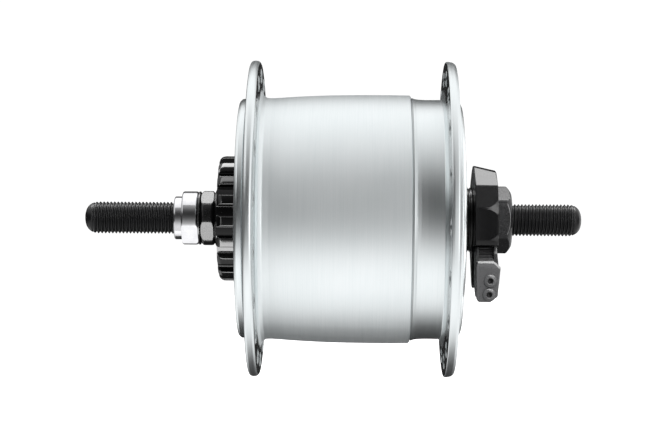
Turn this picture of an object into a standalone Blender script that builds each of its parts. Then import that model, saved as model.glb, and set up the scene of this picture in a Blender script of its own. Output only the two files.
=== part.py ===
"""Front hub dynamo for a roller brake: 36 spoke holes, 100 mm between locknuts, M9 x 1 axle.

The frame's origin is the wheel centre on the axle line. +Y runs along the axle towards the
electrical terminal, +Z is up, and +X is the side that the plug is pulled off towards.
Lengths below are millimetres; MM turns them into metres.
"""

import math

import bmesh
import bpy

MM = 0.001
GAP = 0.3                      # room between faces that touch on the real hub

# ---- driving dimensions -----------------------------------------------------------------
AXLE_R, AXLE_HALF = 4.5, 70.0  # M9 x 1 thread, 140 mm overall
BORE_R = AXLE_R + GAP          # every piece that is threaded on the axle
OVER_LOCKNUTS_HALF = 50.0      # 100 mm fork spacing, terminal side

FLANGE_R, SPOKE_PCD_R, SPOKE_HOLE_R, SPOKES_PER_FLANGE = 44.4, 40.0, 1.45, 18
LEFT_FLANGE_Y = (-23.2, -20.5)
RIGHT_FLANGE_Y = (31.2, 33.9)
SHELL_BORE_R = 32.4
CAP_R = 33.65                  # rim of the left end plate and of the right end cap
LEFT_SPOKE_TURN, RIGHT_SPOKE_TURN = math.radians(-12.7), math.radians(-2.8)

BALL_R, BALL_PITCH_R, BALLS = 2.38, 8.4, 9       # 3/16 inch balls
RACE_R = BALL_R + GAP
LEFT_BEARING_Y, RIGHT_BEARING_Y = -28.0, 31.3

SPLINE_TEETH, SPLINE_TIP_R, SPLINE_ROOT_R = 18, 17.6, 15.8
SPLINE_Y = (-31.9, -26.15)

YOKE_R, MAGNET_R, POLE_R = (30.3, 32.1), (27.0, 30.0), 25.7
POLES_PER_SIDE = 14
STATOR_Y = (-13.0, 23.0)

HOUSING_Y = (39.0, 45.25)
PLUG_TRAVEL = 12.0


# ---- materials and mesh helpers ----------------------------------------------------------
def material(name, colour, metallic, roughness):
    mat = bpy.data.materials.new(name)
    mat.use_nodes = True
    shader = mat.node_tree.nodes["Principled BSDF"]
    shader.inputs["Base Color"].default_value = (*colour, 1.0)
    shader.inputs["Metallic"].default_value = metallic
    shader.inputs["Roughness"].default_value = roughness
    mat.diffuse_color = (*colour, 1.0)
    return mat


ALUMINIUM = ((0.72, 0.73, 0.74), 1.0, 0.32)
BRIGHT_STEEL = ((0.80, 0.80, 0.80), 1.0, 0.16)
BALL_STEEL = ((0.75, 0.75, 0.76), 1.0, 0.08)
BLACK_STEEL = ((0.02, 0.02, 0.022), 1.0, 0.35)
BLACK_PLASTIC = ((0.02, 0.02, 0.022), 0.0, 0.38)
GREY_PLASTIC = ((0.13, 0.13, 0.135), 0.0, 0.45)
DARK_PLASTIC = ((0.055, 0.055, 0.06), 0.0, 0.5)
RUBBER = ((0.03, 0.03, 0.03), 0.0, 0.75)
BRASS = ((0.75, 0.55, 0.25), 1.0, 0.3)
COPPER = ((0.72, 0.33, 0.16), 1.0, 0.35)
IRON = ((0.35, 0.35, 0.36), 1.0, 0.45)
FERRITE = ((0.09, 0.09, 0.095), 0.0, 0.6)
NYLON = ((0.75, 0.72, 0.62), 0.0, 0.5)
CERAMIC_RED = ((0.45, 0.05, 0.04), 0.0, 0.5)


def place(name, bm, look, parent=None, at=(0.0, 0.0, 0.0), smooth=35.0):
    """Turn a bmesh, given around its own origin, into a named object standing at `at` (mm)."""
    bmesh.ops.recalc_face_normals(bm, faces=bm.faces)
    mesh = bpy.data.meshes.new(name)
    bm.to_mesh(mesh)
    bm.free()
    mesh.shade_smooth()
    mesh.set_sharp_from_angle(angle=math.radians(smooth))
    obj = bpy.data.objects.new(name, mesh)
    bpy.context.scene.collection.objects.link(obj)
    obj.location = [c * MM for c in at]
    if parent is not None:
        obj.parent = parent
        obj.location = [c * MM - p for c, p in zip(at, parent.location)]
    if look is not None:
        mesh.materials.append(material(name, *look))
    return obj


def cutter(obj):
    obj.hide_render = True
    obj.display_type = "WIRE"
    return obj


def boolean(obj, operation, tool):
    mod = obj.modifiers.new(operation.lower(), "BOOLEAN")
    mod.operation = operation
    mod.solver = "EXACT"
    mod.object = tool
    return obj


def pivot(name, at):
    empty = bpy.data.objects.new(name, None)
    empty.empty_display_size = 0.01
    empty.location = [c * MM for c in at]
    bpy.context.scene.collection.objects.link(empty)
    return empty


def turned(outline, segments, middle=0.0):
    """A bmesh revolved about the axle line from a (y, r) outline.

    An outline that starts and ends on the axle line stays open there; any other is a ring.
    """
    bm = bmesh.new()
    points = [bm.verts.new((0.0, (y - middle) * MM, r * MM)) for y, r in outline]
    edges = [bm.edges.new(pair) for pair in zip(points, points[1:])]
    if outline[0][1] > 0 or outline[-1][1] > 0:
        edges.append(bm.edges.new((points[-1], points[0])))
    bmesh.ops.spin(
        bm, geom=points + edges, cent=(0, 0, 0), axis=(0, 1, 0), dvec=(0, 0, 0),
        angle=2 * math.pi, steps=segments, use_merge=True, use_duplicate=False,
    )
    bmesh.ops.remove_doubles(bm, verts=bm.verts, dist=1e-7)
    return bm


def prism(low, high, axis, span, middle=(0.0, 0.0, 0.0)):
    """A bmesh between two outlines with equal numbers of corners.

    axis "Y": corners are (x, z) and span is along Y. axis "X": corners are (y, z) along X.
    """
    bm = bmesh.new()

    def corner(u, v, w):
        x, y, z = (u, w, v) if axis == "Y" else (w, u, v)
        return bm.verts.new(((x - middle[0]) * MM, (y - middle[1]) * MM, (z - middle[2]) * MM))

    first = [corner(u, v, span[0]) for u, v in low]
    last = [corner(u, v, span[1]) for u, v in high]
    bm.faces.new(first)
    bm.faces.new(list(reversed(last)))
    for i in range(len(low)):
        j = (i + 1) % len(low)
        bm.faces.new((first[i], last[i], last[j], first[j]))
    bmesh.ops.recalc_face_normals(bm, faces=bm.faces)
    return bm


def sleeve(rings, middle=0.0):
    """A bmesh tube through closed rings of points (x, y, z), the last ring joined to the first."""
    bm = bmesh.new()
    loops = [[bm.verts.new((x * MM, (y - middle) * MM, z * MM)) for x, y, z in ring] for ring in rings]
    for a, b in zip(loops, loops[1:] + loops[:1]):
        n = len(a)
        for i in range(n):
            j = (i + 1) % n
            bm.faces.new((a[i], a[j], b[j], b[i]))
    return bm


def box(low, high, middle=(0.0, 0.0, 0.0)):
    bm = bmesh.new()
    bmesh.ops.create_cube(bm, size=1.0)
    for v in bm.verts:
        v.co = [((lo + hi) / 2 + c * (hi - lo) - m) * MM for lo, hi, c, m in zip(low, high, v.co, middle)]
    return bm


def rod(bm, a, b, radius, sides):
    """Add a closed cylinder from point a to point b (mm), parallel to one of the axes."""
    along = [i for i in range(3) if abs(a[i] - b[i]) > 1e-9][0]
    others = [i for i in range(3) if i != along]
    ends = []
    for end in (a, b):
        ring = []
        for k in range(sides):
            t = 2 * math.pi * (k + 0.5) / sides
            p = list(end)
            p[others[0]] += radius * math.cos(t)
            p[others[1]] += radius * math.sin(t)
            ring.append(bm.verts.new([c * MM for c in p]))
        ends.append(ring)
    bm.faces.new(ends[0])
    bm.faces.new(list(reversed(ends[1])))
    for k in range(sides):
        j = (k + 1) % sides
        bm.faces.new((ends[0][k], ends[1][k], ends[1][j], ends[0][j]))
    return bm


def polygon(count, across_flats, turn):
    """Corners (x, z) of a regular polygon whose first flat faces the angle `turn` (degrees)."""
    r = across_flats / 2 / math.cos(math.pi / count)
    angles = [math.radians(turn) + math.pi * (2 * k + 1) / count for k in range(count)]
    return [(r * math.cos(a), r * math.sin(a)) for a in angles]


def clipped(name, outline, segments, corners, look, middle):
    """A turned ring whose outside is clipped to a prism with these (x, z) corners: a nut."""
    ys = [y for y, _ in outline]
    obj = place(name, turned(outline, segments, middle), look, at=(0, middle, 0))
    tool = prism(corners, corners, "Y", (min(ys) - 1, max(ys) + 1), (0, middle, 0))
    boolean(obj, "INTERSECT", cutter(place(name + "_flats", tool, None, at=(0, middle, 0))))
    return obj


def ring_points(radii_angles, y):
    return [(r * math.cos(a), y, r * math.sin(a)) for r, a in radii_angles]


# ---- start ---------------------------------------------------------------------------------
for old in list(bpy.data.objects):
    bpy.data.objects.remove(old, do_unlink=True)

hub_pivot = pivot("hub_axis", (0, 0, 0))
left_ball_pivot = pivot("left_ball_axis", (0, LEFT_BEARING_Y, 0))
right_ball_pivot = pivot("right_ball_axis", (0, RIGHT_BEARING_Y, 0))
plug_pivot = pivot("plug_slide", (10.0, 42.6, -15.0))


# ---- hub body: shell, ends, bearings' cups, magnets ------------------------------------------
def flange_rim(outer_y, inner_y):
    """Rim of a flange from its outer face round to its inner face, edges rounded."""
    s = 1 if inner_y > outer_y else -1
    return [(outer_y, FLANGE_R - 0.7), (outer_y + 0.7 * s, FLANGE_R),
            (inner_y - 0.7 * s, FLANGE_R), (inner_y, FLANGE_R - 0.7)]


shell_outline = (
    [(LEFT_FLANGE_Y[0] + 0.2, SHELL_BORE_R), (LEFT_FLANGE_Y[0] + 0.2, CAP_R + 0.35),
     (LEFT_FLANGE_Y[0], CAP_R + 0.35)]
    + flange_rim(LEFT_FLANGE_Y[0], LEFT_FLANGE_Y[1])
    + [(-20.1, 36.6), (-19.4, 34.8), (-18.2, 33.9), (-8.0, 34.5),
       (6.0, 34.95), (20.8, 34.87), (22.3, 33.98), (25.6, 33.65), (29.3, 33.8), (30.5, 35.0), (31.0, 37.0)]
    + list(reversed(flange_rim(RIGHT_FLANGE_Y[1], RIGHT_FLANGE_Y[0])))
    + [(RIGHT_FLANGE_Y[1], CAP_R + 0.35), (RIGHT_FLANGE_Y[1] - 0.2, CAP_R + 0.35),
       (RIGHT_FLANGE_Y[1] - 0.2, SHELL_BORE_R)]
)
hub_shell = place("hub_shell", turned(shell_outline, 48), ALUMINIUM, hub_pivot)

spokes = bmesh.new()
for (y0, y1), turn in ((LEFT_FLANGE_Y, LEFT_SPOKE_TURN), (RIGHT_FLANGE_Y, RIGHT_SPOKE_TURN)):
    for k in range(SPOKES_PER_FLANGE):
        a = turn + 2 * math.pi * k / SPOKES_PER_FLANGE
        x, z = SPOKE_PCD_R * math.cos(a), SPOKE_PCD_R * math.sin(a)
        rod(spokes, (x, y0 - 1, z), (x, y1 + 1, z), SPOKE_HOLE_R, 8)
boolean(hub_shell, "DIFFERENCE", cutter(place("spoke_holes", spokes, None, hub_pivot)))

plate_y = LEFT_FLANGE_Y[0] - 2.95
left_end_plate = place("left_end_plate", turned([
    (plate_y + 0.3, 12.7), (plate_y + 0.3, SPLINE_TIP_R + 0.5), (plate_y, SPLINE_TIP_R + 0.5),
    (plate_y, CAP_R - 0.8), (plate_y + 0.25, CAP_R - 0.2), (plate_y + 0.8, CAP_R),
    (LEFT_FLANGE_Y[0] - 0.1, CAP_R), (LEFT_FLANGE_Y[0] - 0.1, 32.1), (-20.8, 32.1), (-20.8, 30.3),
    (-23.0, 29.6), (-23.0, 12.7),
], 40, -25.0), ALUMINIUM, hub_pivot, at=(0, -25.0, 0))

right_end_cap = place("right_end_cap", turned([
    (29.2, 12.7), (36.5, 12.7), (36.5, 18.0), (36.2, 26.0), (35.6, 32.4), (34.9, CAP_R), (RIGHT_FLANGE_Y[1] + 0.1, CAP_R), (RIGHT_FLANGE_Y[1] + 0.1, 32.1), (30.5, 32.1),
    (30.5, 30.6), (33.4, 30.0), (33.4, 15.4), (29.2, 15.2),
], 40, 34.0), ALUMINIUM, hub_pivot, at=(0, 34.0, 0))

# brake spline: eighteen broad teeth, their front ends rounded off, on a plain bore
tooth = 2 * math.pi / SPLINE_TEETH
half_tip, half_root = math.radians(4.4), math.radians(5.4)
first_tooth = math.radians(-2.9)


def spline_ring(tip, y):
    radii = []
    for k in range(SPLINE_TEETH):
        c = first_tooth + k * tooth
        radii += [(SPLINE_ROOT_R, c - half_root), (tip, c - half_tip), (tip, c + half_tip),
                  (SPLINE_ROOT_R, c + half_root)]
    return ring_points(radii, y)


def round_ring(r, y):
    angles = []
    for k in range(SPLINE_TEETH):
        c = first_tooth + k * tooth
        angles += [c - half_root, c - half_tip, c + half_tip, c + half_root]
    return ring_points([(r, a) for a in angles], y)


brake_spline_ring = place("brake_spline_ring", sleeve([
    round_ring(12.7, SPLINE_Y[0]), spline_ring(SPLINE_TIP_R - 1.1, SPLINE_Y[0]),
    spline_ring(SPLINE_TIP_R, SPLINE_Y[0] + 1.2),
    spline_ring(SPLINE_TIP_R, SPLINE_Y[1]), round_ring(12.7, SPLINE_Y[1]),
], -29.0), BLACK_STEEL, hub_pivot, at=(0, -29.0, 0), smooth=25)


def race_arc(middle_y, inboard, start, stop, steps):
    """Points (y, r) on a ball race of radius RACE_R. 0 deg points inboard, 90 deg outwards."""
    arc = []
    for k in range(steps + 1):
        t = math.radians(start + (stop - start) * k / steps)
        arc.append((middle_y + inboard * RACE_R * math.cos(t), BALL_PITCH_R + RACE_R * math.sin(t)))
    return arc


def bearing(side, middle_y, inboard, cone_end):
    """Pressed cup, threaded cone, and a retainer with its balls, for one end of the hub."""
    cup_r, end = 12.4, middle_y + inboard * (RACE_R + 1.3)
    cup = race_arc(middle_y, inboard, 100, 5, 4)
    cup += [(end, cup[-1][1]), (end, cup_r), (middle_y - inboard * 2.0, cup_r), (middle_y - inboard * 2.0, cup[0][1])]
    place(side + "_bearing_cup", turned(cup, 28, middle_y), BRIGHT_STEEL, hub_pivot, at=(0, middle_y, 0))

    cone = race_arc(middle_y, inboard, 200, 285, 4)
    front = middle_y + inboard * 1.6
    cone = [(cone_end, BORE_R), (cone_end, cone[0][1])] + cone + [(front, cone[-1][1]), (front, BORE_R)]
    place(side + "_cone", turned(cone, 28, middle_y), BRIGHT_STEEL, at=(0, middle_y, 0))

    parent = left_ball_pivot if side == "left" else right_ball_pivot
    ball = bmesh.new()
    bmesh.ops.create_icosphere(ball, subdivisions=2, radius=BALL_R * MM)
    first = place(side + "_ball_1", ball, BALL_STEEL, parent, at=(BALL_PITCH_R, middle_y, 0), smooth=80)
    pockets = bmesh.new()
    for k in range(BALLS):
        a = 2 * math.pi * k / BALLS
        where = (BALL_PITCH_R * math.cos(a), middle_y, BALL_PITCH_R * math.sin(a))
        if k:
            copy = bpy.data.objects.new(f"{side}_ball_{k + 1}", first.data)
            bpy.context.scene.collection.objects.link(copy)
            copy.parent = parent
            copy.location = [c * MM - p for c, p in zip(where, parent.location)]
        ends = []
        for y, r in ((-2.75 * inboard, 1.6), (-0.2 * inboard, 2.8)):
            ends.append([
                pockets.verts.new(((where[0] + r * math.cos(t)) * MM, y * MM, (where[2] + r * math.sin(t)) * MM))
                for t in (math.pi * (i + 0.5) / 4 for i in range(8))
            ])
        pockets.faces.new(ends[0])
        pockets.faces.new(list(reversed(ends[1])))
        for i in range(8):
            j = (i + 1) % 8
            pockets.faces.new((ends[0][i], ends[1][i], ends[1][j], ends[0][j]))
    y0, y1 = middle_y - inboard * 3.1, middle_y - inboard * 0.6
    cage = place(side + "_ball_retainer", turned([(y0, 7.95), (y0, 9.35), (y1, 9.35), (y1, 7.95)], 27, middle_y),
                 BRIGHT_STEEL, parent, at=(0, middle_y, 0))
    boolean(cage, "DIFFERENCE", cutter(place(side + "_ball_pockets", pockets, None, parent, at=(0, middle_y, 0))))


bearing("left", LEFT_BEARING_Y, 1, LEFT_BEARING_Y - 3.8)
bearing("right", RIGHT_BEARING_Y, -1, RIGHT_BEARING_Y + 4.5)

place("left_dust_seal", turned([(-31.6, 9.75), (-31.6, 12.4), (-30.9, 12.4), (-30.9, 9.75)], 28, -31.2),
      RUBBER, hub_pivot, at=(0, -31.2, 0))
place("right_dust_seal", turned([(34.5, 9.5), (34.5, 12.4), (36.2, 12.4), (36.2, 10.2), (35.4, 9.5)], 28, 35.3),
      RUBBER, hub_pivot, at=(0, 35.3, 0))

place("magnet_yoke", turned([(-17.0, YOKE_R[0]), (-17.0, YOKE_R[1]), (27.0, YOKE_R[1]), (27.0, YOKE_R[0])], 40, 5.0),
      IRON, hub_pivot, at=(0, 5.0, 0))
for k in range(4):
    arc = [math.radians(90 * k + 46 + 88 * i / 8 - 45) for i in range(9)]
    outline = [(MAGNET_R[0] * math.cos(a), MAGNET_R[0] * math.sin(a)) for a in arc]
    outline += [(MAGNET_R[1] * math.cos(a), MAGNET_R[1] * math.sin(a)) for a in reversed(arc)]
    place(f"magnet_segment_{k + 1}", prism(outline, outline, "Y", (-16.0, 26.0), (0, 5.0, 0)), FERRITE, hub_pivot,
          at=(0, 5.0, 0))


# ---- axle and everything that stands still with it ---------------------------------------------
axle = place("axle", turned([
    (-70.0, 0.0), (-69.75, 1.9), (-69.1, 3.2), (-68.3, 3.95), (-67.3, AXLE_R), (67.3, AXLE_R),
    (68.3, 3.95), (69.1, 3.2), (69.75, 1.9), (70.0, 0.0),
], 24), BLACK_STEEL)
boolean(axle, "DIFFERENCE", cutter(place("lead_groove", box((-0.95, 9.6, -5.5), (0.95, 43.2, -2.9)), None)))

# brake fixing nut: a short round pilot, then a body with two flats
clipped("brake_fixing_nut", [
    (-44.7, BORE_R), (-44.7, 5.85), (-44.5, 6.05), (-42.45, 6.05), (-42.45, 7.15), (-42.1, 7.5),
    (-38.3, 7.5), (-37.95, 7.2), (-37.95, BORE_R),
], 28, [(6.5 * math.cos(math.radians(-46)) - 12 * u * math.sin(math.radians(-46)) * 1.0 if s else
         -6.5 * math.cos(math.radians(-46)) - 12 * u * math.sin(math.radians(-46)),
         6.5 * math.sin(math.radians(-46)) + 12 * u * math.cos(math.radians(-46)) if s else
         -6.5 * math.sin(math.radians(-46)) + 12 * u * math.cos(math.radians(-46)))
        for s, u in ((1, -1), (1, 1), (0, 1), (0, -1))], BRIGHT_STEEL, -41.0)
place("left_washer", turned([(-37.8, BORE_R), (-37.8, 7.5), (-37.4, 7.5), (-37.4, BORE_R)], 28, -37.6),
      BLACK_STEEL, at=(0, -37.6, 0))
clipped("left_locknut", [
    (-37.25, BORE_R), (-37.25, 6.8), (-36.4, 7.65), (-33.9, 7.65), (-33.55, 7.3), (-33.55, BORE_R),
], 32, polygon(4, 13.9, -33.4), BLACK_STEEL, -35.2)
place("left_dust_cap", turned([
    (-33.25, BORE_R), (-33.25, 6.9), (-32.9, 7.9), (-32.3, 9.3), (-32.1, 9.3), (-32.1, BORE_R),
], 28, -32.7), BLACK_STEEL, at=(0, -32.7, 0))

place("right_collar", turned([
    (36.1, BORE_R), (36.1, 9.15), (37.8, 9.15), (37.9, 8.7), (38.2, 8.7), (38.3, 9.0), (38.7, 9.0), (38.7, BORE_R),
], 28, 37.5), BLACK_STEEL, at=(0, 37.5, 0))
clipped("right_locknut", [
    (45.55, BORE_R), (45.55, 9.45), (48.7, 9.45), (OVER_LOCKNUTS_HALF, 7.6), (OVER_LOCKNUTS_HALF, BORE_R),
], 36, polygon(6, 17.0, 1.6), BLACK_STEEL, 47.8)

# laminated core, slotted for the lead, and the clamp pieces that hold the stator on the axle
core = place("stator_core", turned([
    (STATOR_Y[0], BORE_R), (STATOR_Y[0], 11.0), (STATOR_Y[1], 11.0), (STATOR_Y[1], BORE_R),
], 24, 5.0), IRON, at=(0, 5.0, 0))
boolean(core, "DIFFERENCE", cutter(place("core_slot", box((-1.2, -14, -14), (1.2, 24, -4)), None)))
place("stator_washer_left", turned([(-14.9, BORE_R), (-14.9, 12.5), (-13.3, 12.5), (-13.3, BORE_R)], 24, -14.0),
      IRON, at=(0, -14.0, 0))
clipped("stator_nut_left", [(-19.2, BORE_R), (-19.2, 9.6), (-15.2, 9.6), (-15.2, BORE_R)], 24,
        polygon(6, 15.0, 0), BRIGHT_STEEL, -17.0)
place("stator_washer_right", turned([(23.3, BORE_R), (23.3, 12.5), (24.6, 12.5), (24.6, BORE_R)], 24, 24.0),
      IRON, at=(0, 24.0, 0))
clipped("stator_nut_right", [(24.9, BORE_R), (24.9, 9.6), (27.0, 9.6), (27.0, BORE_R)], 24,
        polygon(6, 15.0, 0), BRIGHT_STEEL, 26.0)

place("coil_bobbin", turned([
    (-11.0, 11.3), (-11.0, 20.3), (-10.0, 20.3), (-10.0, 12.3), (20.0, 12.3), (20.0, 20.3), (21.0, 20.3), (21.0, 11.3),
], 28, 5.0), NYLON, at=(0, 5.0, 0))
place("coil_winding", turned([(-9.7, 12.6), (-9.7, 19.6), (19.7, 19.6), (19.7, 12.6)], 28, 5.0),
      COPPER, at=(0, 5.0, 0))


def claw_pole(name, plate_y, direction, turn):
    """Plate with POLES_PER_SIDE claws that reach across the winding and narrow to their tips."""
    bm = bmesh.new()
    middle = 5.0
    half = math.radians(4.9)
    rings = {}
    for key, r in (("hole", 11.3), ("root", 22.4), ("tip", POLE_R)):
        rings[key] = [
            bm.verts.new((r * math.cos(a) * MM, (plate_y - middle) * MM, r * math.sin(a) * MM))
            for k in range(POLES_PER_SIDE)
            for a in (turn + 2 * math.pi * k / POLES_PER_SIDE - half, turn + 2 * math.pi * k / POLES_PER_SIDE + half)
        ]
    n = 2 * POLES_PER_SIDE
    faces = []
    for i in range(n):
        j = (i + 1) % n
        faces.append(bm.faces.new((rings["hole"][i], rings["root"][i], rings["root"][j], rings["hole"][j])))
        if i % 2 == 0:
            faces.append(bm.faces.new((rings["root"][i], rings["tip"][i], rings["tip"][j], rings["root"][j])))
    grown = bmesh.ops.extrude_face_region(bm, geom=faces)
    for v in (g for g in grown["geom"] if isinstance(g, bmesh.types.BMVert)):
        v.co.y += direction * 1.5 * MM
    bm.normal_update()
    claws = [
        f for f in grown["geom"] if isinstance(f, bmesh.types.BMFace)
        and math.hypot(f.calc_center_median().x, f.calc_center_median().z) > 23.0 * MM
    ]
    for face in bmesh.ops.extrude_discrete_faces(bm, faces=claws)["faces"]:
        centre = face.calc_center_median()
        radial = centre.copy()
        radial.y = 0.0
        radial.normalize()
        for v in face.verts:
            off = v.co - centre
            along = radial * off.dot(radial)
            v.co = centre + along + (off - along) * 0.5
            v.co.y += direction * 31.4 * MM
    bmesh.ops.recalc_face_normals(bm, faces=bm.faces)
    return place(name, bm, IRON, at=(0, middle, 0))


claw_pole("left_claw_pole", -12.8, 1, 0.0)
claw_pole("right_claw_pole", 22.8, -1, math.pi / POLES_PER_SIDE)


# ---- terminal side ------------------------------------------------------------------------------
back = [(2.6, -19.2), (1.0, -18.9), (-4.9, -11.9), (-8.5, -8.2), (-11.3, -4.2), (-12.0, 0.0), (-11.3, 4.2),
        (-8.5, 8.3), (-4.4, 11.4)]
front = [(16.5, 9.5), (19.3, 3.5), (19.3, -6.0), (17.6, -7.05), (3.6, -7.05), (3.6, -18.4)]
housing_low = back + [(-0.4, 13.8), (3.2, 15.1), (9.0, 15.1)] + front
housing_high = back + [(-0.4, 13.2), (3.2, 13.7), (9.0, 13.7)] + front
housing = place("terminal_housing", prism(housing_low, housing_high, "Y", HOUSING_Y, (0, 42.0, 0)), BLACK_PLASTIC,
                at=(0, 42.0, 0), smooth=20)
boolean(housing, "INTERSECT", cutter(place("housing_chamfer", turned([
    (39.0, 0.0), (39.0, 26.0), (39.8, 20.9), (45.6, 18.7), (45.6, 0.0)], 64, 42.0), None, at=(0, 42.0, 0))))
boolean(housing, "DIFFERENCE", cutter(place("housing_bore", turned([
    (38.0, 0.0), (38.0, BORE_R), (47.0, BORE_R), (47.0, 0.0)], 32, 42.0), None, at=(0, 42.0, 0))))
channels = box((-2.3, 41.6, -12.9), (5.0, 43.0, -9.5))
more = box((1.0, 41.6, -17.5), (5.0, 43.0, -14.1))
part = bpy.data.meshes.new("channel")
more.to_mesh(part)
more.free()
channels.from_mesh(part)
bpy.data.meshes.remove(part)
boolean(housing, "DIFFERENCE", cutter(place("blade_channels", channels, None)))
boolean(housing, "DIFFERENCE", cutter(place("lead_riser", box((-0.9, 41.2, -10.2), (0.9, 42.8, -4.0)), None)))

place("terminal_blade_live", box((-2.0, 41.9, -12.6), (10.5, 42.7, -9.8), (4.2, 42.3, -11.2)), BRASS,
      at=(4.2, 42.3, -11.2))
place("terminal_blade_earth", box((1.3, 41.9, -17.2), (10.5, 42.7, -14.4), (5.9, 42.3, -15.8)), BRASS,
      at=(5.9, 42.3, -15.8))

# insulated lead: down the slot of the core, along the axle's groove, and up to the live blade
lead_points = []
bend = 1.5
for k in range(7):
    t = math.radians(90 * k / 6)
    lead_points.append((12.5 - bend * math.cos(t) + 0.0, -5.25 + bend * math.sin(t)))
lead_points = [(11.0, -10.2)] + lead_points
for k in range(7):
    t = math.radians(90 * k / 6)
    lead_points.append((40.5 + bend * math.sin(t), -5.25 + bend * math.cos(t)))
lead_points.append((42.0, -9.1))
curve = bpy.data.curves.new("lead_wire", "CURVE")
curve.dimensions = "3D"
curve.bevel_depth = 0.45 * MM
curve.bevel_resolution = 1
curve.use_fill_caps = True
spline = curve.splines.new("POLY")
spline.points.add(len(lead_points) - 1)
for point, (y, z) in zip(spline.points, lead_points):
    point.co = (0.0, y * MM, z * MM, 1.0)
curve.materials.append(material("lead_wire", *CERAMIC_RED))
bpy.context.scene.collection.objects.link(bpy.data.objects.new("lead_wire", curve))


# ---- plug: ribbed body with a finger scoop, and the cap that the two lamp wires enter ---------------
plug_mid = (10.0, 42.6, -15.0)
body_face = [(39.5, -7.4), (45.5, -7.4), (45.55, -13.2), (44.9, -20.5), (43.0, -21.8), (40.0, -21.8), (39.5, -21.2)]
body_side = [(3.9, -7.0), (15.7, -7.0), (17.0, -9.6), (17.0, -23.0), (14.3, -23.0), (8.0, -20.4), (3.9, -18.2)]
plug_body = place("connector_body", prism(body_face, body_face, "X", (3.9, 16.6), plug_mid), DARK_PLASTIC,
                  plug_pivot, at=plug_mid)
boolean(plug_body, "INTERSECT", cutter(place("body_side", prism(body_side, body_side, "Y", (38.0, 47.0), plug_mid),
                                             None, plug_pivot, at=plug_mid)))
scoop = []
for k in range(7):
    t = math.radians(180 + 90 * k / 6)
    scoop.append((17.3 + 3.6 * math.cos(t), -7.4 + 3.9 * math.sin(t)))
scoop += [(18.5, -11.3), (18.5, -6.5), (13.7, -6.5)]
boolean(plug_body, "DIFFERENCE",
        cutter(place("finger_scoop", prism(scoop, scoop, "Y", (40.0, 44.2), plug_mid), None, plug_pivot, at=plug_mid)))
slots = box((3.0, 41.6, -12.9), (11.0, 43.0, -9.5), plug_mid)
more = box((3.0, 41.6, -17.5), (11.0, 43.0, -14.1), plug_mid)
part = bpy.data.meshes.new("slot")
more.to_mesh(part)
more.free()
slots.from_mesh(part)
bpy.data.meshes.remove(part)
boolean(plug_body, "DIFFERENCE", cutter(place("blade_slots", slots, None, plug_pivot, at=plug_mid)))

cap_back = [(39.7, -11.3), (44.15, -11.3), (45.95, -12.9), (45.2, -20.9), (43.2, -22.45), (40.0, -22.45), (39.35, -21.7),
            (39.25, -12.6)]
cap_front = [(39.85, -11.5), (44.05, -11.5), (45.75, -13.0), (45.0, -20.8), (43.1, -22.25), (40.1, -22.25),
             (39.55, -21.6), (39.45, -12.7)]
plug_cap = place("connector_cap", prism(cap_back, cap_front, "X", (16.9, 18.3), plug_mid), GREY_PLASTIC, plug_pivot,
                 at=plug_mid)
wire_entries = ((43.1, -16.7), (42.8, -20.45))
bosses, holes = bmesh.new(), bmesh.new()
for y, z in wire_entries:
    rod(bosses, (17.9 - 10.0, y - 42.6, z + 15.0), (18.9 - 10.0, y - 42.6, z + 15.0), 1.65, 16)
    rod(holes, (15.0 - 10.0, y - 42.6, z + 15.0), (20.0 - 10.0, y - 42.6, z + 15.0), 0.87, 12)
boolean(plug_cap, "UNION", cutter(place("entry_bosses", bosses, None, plug_pivot, at=plug_mid)))
boolean(plug_cap, "DIFFERENCE", cutter(place("entry_holes", holes, None, plug_pivot, at=plug_mid)))
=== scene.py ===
import math

import bmesh
import bpy
import numpy as np
from mathutils import Matrix, Vector


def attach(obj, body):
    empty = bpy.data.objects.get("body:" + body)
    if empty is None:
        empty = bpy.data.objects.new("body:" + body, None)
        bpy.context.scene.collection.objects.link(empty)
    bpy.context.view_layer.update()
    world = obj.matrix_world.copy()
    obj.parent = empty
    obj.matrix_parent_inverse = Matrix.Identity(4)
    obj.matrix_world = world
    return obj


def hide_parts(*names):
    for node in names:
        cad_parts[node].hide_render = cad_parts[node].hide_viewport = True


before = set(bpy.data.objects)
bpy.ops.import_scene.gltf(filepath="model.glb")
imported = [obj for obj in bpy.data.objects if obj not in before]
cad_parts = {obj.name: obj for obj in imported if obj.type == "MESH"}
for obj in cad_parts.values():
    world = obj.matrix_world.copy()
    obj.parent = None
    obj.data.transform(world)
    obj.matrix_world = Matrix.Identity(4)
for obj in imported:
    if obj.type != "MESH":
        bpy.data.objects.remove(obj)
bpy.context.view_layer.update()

MM = 0.001
HUB, AXLE, PLUG = "hub", "axle_assembly", "connector"
scene = bpy.context.scene


# ---------------------------------------------------------------- camera, floor, studio
WIDTH, HEIGHT = 666, 438
DISTANCE, CENTRE_PX, PX_PER_MM = 0.515, 353.5, 3.54
camera_data = bpy.data.cameras.new("camera")
camera_data.sensor_fit = "HORIZONTAL"
camera_data.sensor_width = 36.0
camera_data.lens = PX_PER_MM * 1000 * DISTANCE / WIDTH * 36.0
camera_data.shift_x = -(CENTRE_PX - WIDTH / 2) / WIDTH
camera_data.clip_start, camera_data.clip_end = 0.01, 50.0
camera = bpy.data.objects.new("camera", camera_data)
scene.collection.objects.link(camera)
facing = Matrix(((0, 0, 1), (1, 0, 0), (0, 1, 0))).to_4x4()
camera.matrix_world = (
    Matrix.Translation((DISTANCE, (CENTRE_PX - 333.3) / PX_PER_MM / 1000, 0.0))
    @ facing @ Matrix.Rotation(math.radians(0.37), 4, "Z")
)
scene.camera = camera
scene.view_settings.view_transform = "Standard"
scene.view_settings.look = "None"
scene.cycles.use_denoising = True


def link(tree, source, target):
    tree.links.new(source, target)


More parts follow.
